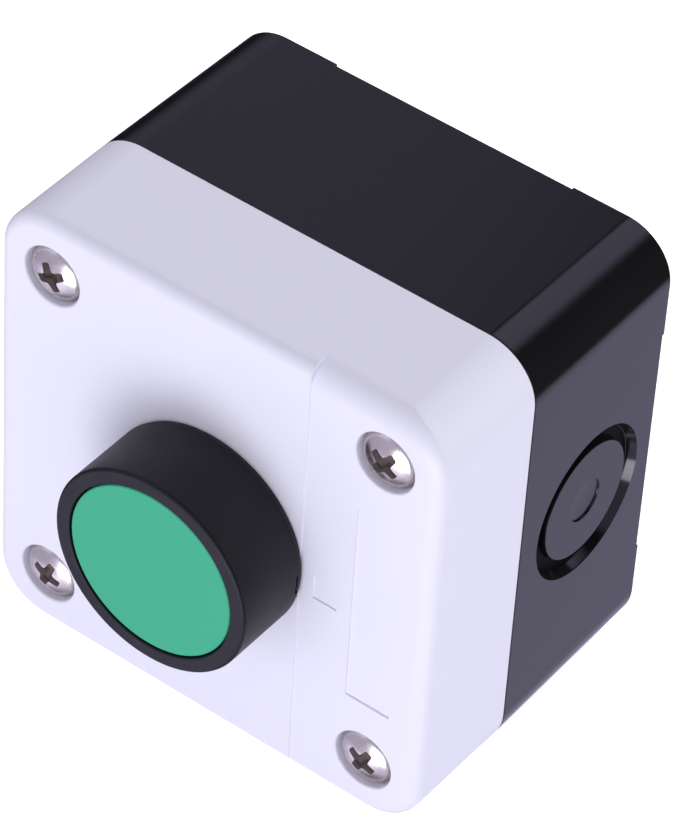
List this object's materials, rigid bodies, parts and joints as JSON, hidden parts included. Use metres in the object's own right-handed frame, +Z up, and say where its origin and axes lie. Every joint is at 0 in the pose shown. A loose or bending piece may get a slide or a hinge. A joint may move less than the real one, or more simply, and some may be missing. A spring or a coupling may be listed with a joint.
{
  "type": "pushbutton box",
  "caption": "Square two-part moulded control box with a flush round pushbutton on its front and a spring-returned contact block behind it.",
  "frame": {"origin": "middle of the plane that the four rear pads rest on, between the two fixing holes", "axes": "+Y into the wall, so the front faces -Y; +Z up as pictured; +X to the right, towards the blank label field"},
  "size_m": [0.068, 0.0592, 0.068],
  "materials": {
    "base_plastic": "satin moulded, fine texture",
    "cover_plastic": "satin moulded",
    "bezel_plastic": "matte moulded",
    "cap_plastic": "matte moulded",
    "stem_plastic": "natural",
    "block_plastic": "moulded",
    "carrier_plastic": "moulded",
    "seal_rubber": "matte",
    "stainless_steel": "polished",
    "plated_steel": "zinc plated",
    "brass": "machined",
    "silver_alloy": "bright"
  },
  "bodies": {
    "box": {"rear_base": "base_plastic", "front_cover": "cover_plastic", "cover_gasket": "seal_rubber", "cover_screws": "stainless_steel", "cover_screw_seals": "seal_rubber", "pillar_inserts": "brass", "button_bezel": "bezel_plastic", "bezel_gasket": "seal_rubber", "stem_seal": "seal_rubber", "return_spring": "stainless_steel", "fixing_collar": "bezel_plastic", "collar_screw": "stainless_steel", "collar_nut": "plated_steel", "contact_block_housing": "block_plastic", "contact_block_cover": "block_plastic", "carrier_spring": "stainless_steel", "fixed_contacts": "brass", "fixed_contact_tips": "silver_alloy", "terminal_clamps": "plated_steel", "terminal_screws": "plated_steel"},
    "button": {"button_cap": "cap_plastic", "button_stem": "stem_plastic", "stem_retaining_ring": "stainless_steel"},
    "carrier": {"contact_carrier": "carrier_plastic", "bridge_spring": "stainless_steel"},
    "bridge": {"contact_bridge": "brass", "bridge_contact_tips": "silver_alloy"}
  },
  "joints": [
    {"name": "button_press", "type": "slide", "parent": "box", "child": "button", "axis": [0, 1, 0], "range_m": [0, 0.0043], "stiffness_N_per_m": 500, "springref_m": -0.004, "deforming": ["return_spring"]},
    {"name": "carrier_slide", "type": "slide", "parent": "box", "child": "carrier", "axis": [0, 1, 0], "range_m": [0, 0.0043], "stiffness_N_per_m": 150, "springref_m": -0.003, "deforming": ["carrier_spring"]},
    {"name": "bridge_slide", "type": "slide", "parent": "box", "child": "bridge", "axis": [0, 1, 0], "range_m": [0, 0.0026], "deforming": ["bridge_spring"]}
  ],
  "couplings": [
    {"joint": "carrier_slide", "follows": "button_press", "ratio": 1},
    {"joint": "bridge_slide", "follows": "button_press", "ratio": 0.6046}
  ]
}
